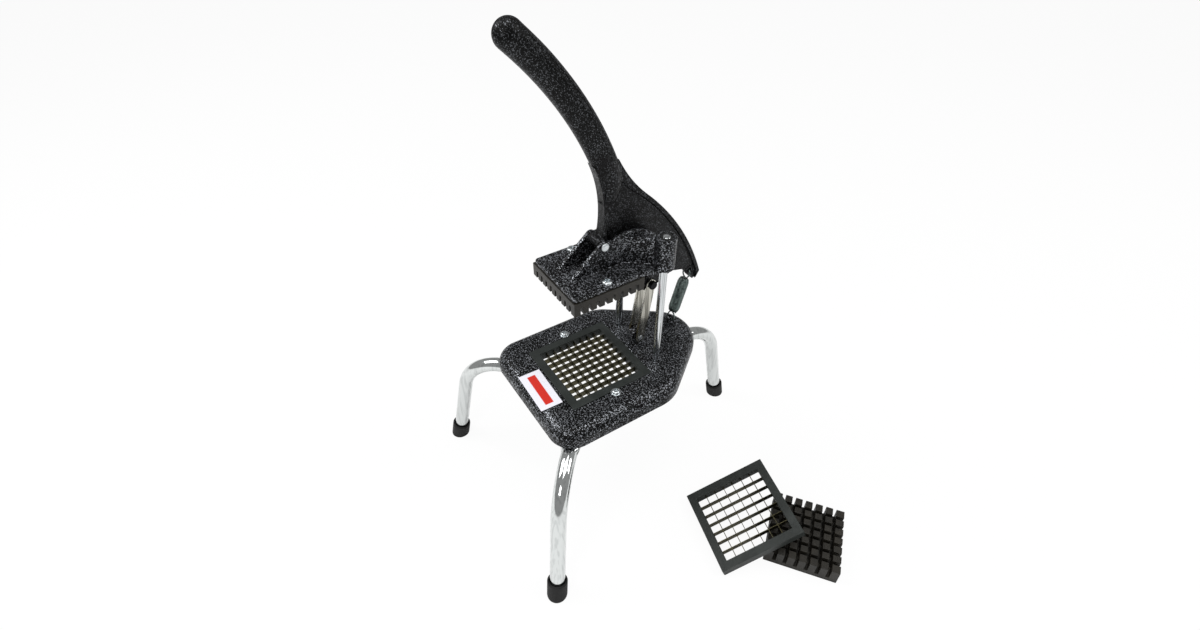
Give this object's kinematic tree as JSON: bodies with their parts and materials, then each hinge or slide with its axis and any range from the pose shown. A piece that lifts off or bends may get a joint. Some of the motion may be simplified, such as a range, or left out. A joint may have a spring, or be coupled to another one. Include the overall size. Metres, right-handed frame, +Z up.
{
  "type": "french fry cutter",
  "caption": "Lever press on bent tube legs that drives a toothed pusher down two rods through a square knife grid; a spare grid and pusher stand beside it.",
  "frame": {"origin": "on the floor plane, straight below the middle of the mounted knife grid", "axes": "+X to the user's right, +Y away from the user towards the lever's fulcrum, +Z up"},
  "size_m": [0.4129, 0.3478, 0.5241],
  "materials": {
    "cast_black_paint": "hammered gloss",
    "chrome_tube": "mirror polish",
    "black_rubber": "matt",
    "zinc_fasteners": "zinc plated",
    "nickel_links": "nickel plated",
    "ground_rod": "ground and polished",
    "bush_polymer": "turned",
    "grid_plastic": "moulded",
    "pusher_plastic": "moulded",
    "blade_steel": "ground",
    "spring_wire": "zinc plated",
    "label_paper": "printed film, blank"
  },
  "bodies": {
    "base": {"base_plate": "cast_black_paint", "leg_front_left": "chrome_tube", "leg_front_right": "chrome_tube", "leg_rear": "chrome_tube", "foot_front_left": "black_rubber", "foot_front_right": "black_rubber", "foot_rear": "black_rubber", "leg_bolts": "zinc_fasteners", "knife_frame": "grid_plastic", "blades_lengthwise": "blade_steel", "blades_crosswise": "blade_steel", "knife_frame_screws": "zinc_fasteners", "knife_frame_washers": "zinc_fasteners", "guide_rod_left": "ground_rod", "guide_rod_right": "ground_rod", "guide_rod_nuts": "zinc_fasteners", "link_foot_pin": "zinc_fasteners", "front_label": "label_paper", "spare_knife_frame": "grid_plastic", "spare_blades_lengthwise": "blade_steel", "spare_blades_crosswise": "blade_steel", "spare_pusher_block": "pusher_plastic"},
    "carriage": {"carriage": "cast_black_paint", "guide_bush_left": "bush_polymer", "guide_bush_right": "bush_polymer", "pusher_block": "pusher_plastic", "pusher_screws": "zinc_fasteners", "handle_pin": "zinc_fasteners", "handle_pin_ring": "zinc_fasteners"},
    "lever": {"handle": "cast_black_paint", "fulcrum_pin": "zinc_fasteners"},
    "links": {"link_left": "nickel_links", "link_right": "nickel_links", "fulcrum_bolt_head": "zinc_fasteners", "fulcrum_bolt_nut": "zinc_fasteners"},
    "spring_foot": {"spring_hook_lower": "spring_wire"},
    "spring_eye": {"spring_hook_upper": "spring_wire", "spring_coil": "spring_wire"},
    "spring_end": {"spring_end_turn": "spring_wire"}
  },
  "joints": [
    {"name": "carriage_slide", "type": "slide", "parent": "base", "child": "carriage", "axis": [0, 0, 1], "range_m": [-0.119, 0], "stiffness_N_per_m": 400, "springref_m": 0.06},
    {"name": "lever_pivot", "type": "hinge", "parent": "carriage", "child": "lever", "pos_m": [0, 0.01, 0.323], "axis": [1, 0, 0], "range_deg": [0, 73.22]},
    {"name": "link_foot", "type": "hinge", "parent": "base", "child": "links", "pos_m": [0, 0.062, 0.181], "axis": [1, 0, 0], "range_deg": [-21.41, 0]},
    {"name": "spring_foot_turn", "type": "hinge", "parent": "base", "child": "spring_foot", "pos_m": [0, 0.109, 0.18], "axis": [1, 0, 0], "range_deg": [0, 10.43]},
    {"name": "spring_eye_turn", "type": "hinge", "parent": "lever", "child": "spring_eye", "pos_m": [0, 0.127, 0.244], "axis": [1, 0, 0], "range_deg": [-62.79, 0]},
    {"name": "spring_stretch", "type": "slide", "parent": "spring_eye", "child": "spring_end", "axis": [0, 0.2707, 0.9627], "range_m": [-0.04717, 0], "deforming": ["spring_coil"]}
  ],
  "couplings": [
    {"joint": "lever_pivot", "follows": "carriage_slide", "rad_per_m": -10.734},
    {"joint": "link_foot", "follows": "carriage_slide", "rad_per_m": 3.1392},
    {"joint": "spring_foot_turn", "follows": "carriage_slide", "rad_per_m": -1.5288},
    {"joint": "spring_eye_turn", "follows": "carriage_slide", "rad_per_m": 9.2052},
    {"joint": "spring_stretch", "follows": "carriage_slide", "ratio": 0.39619}
  ]
}
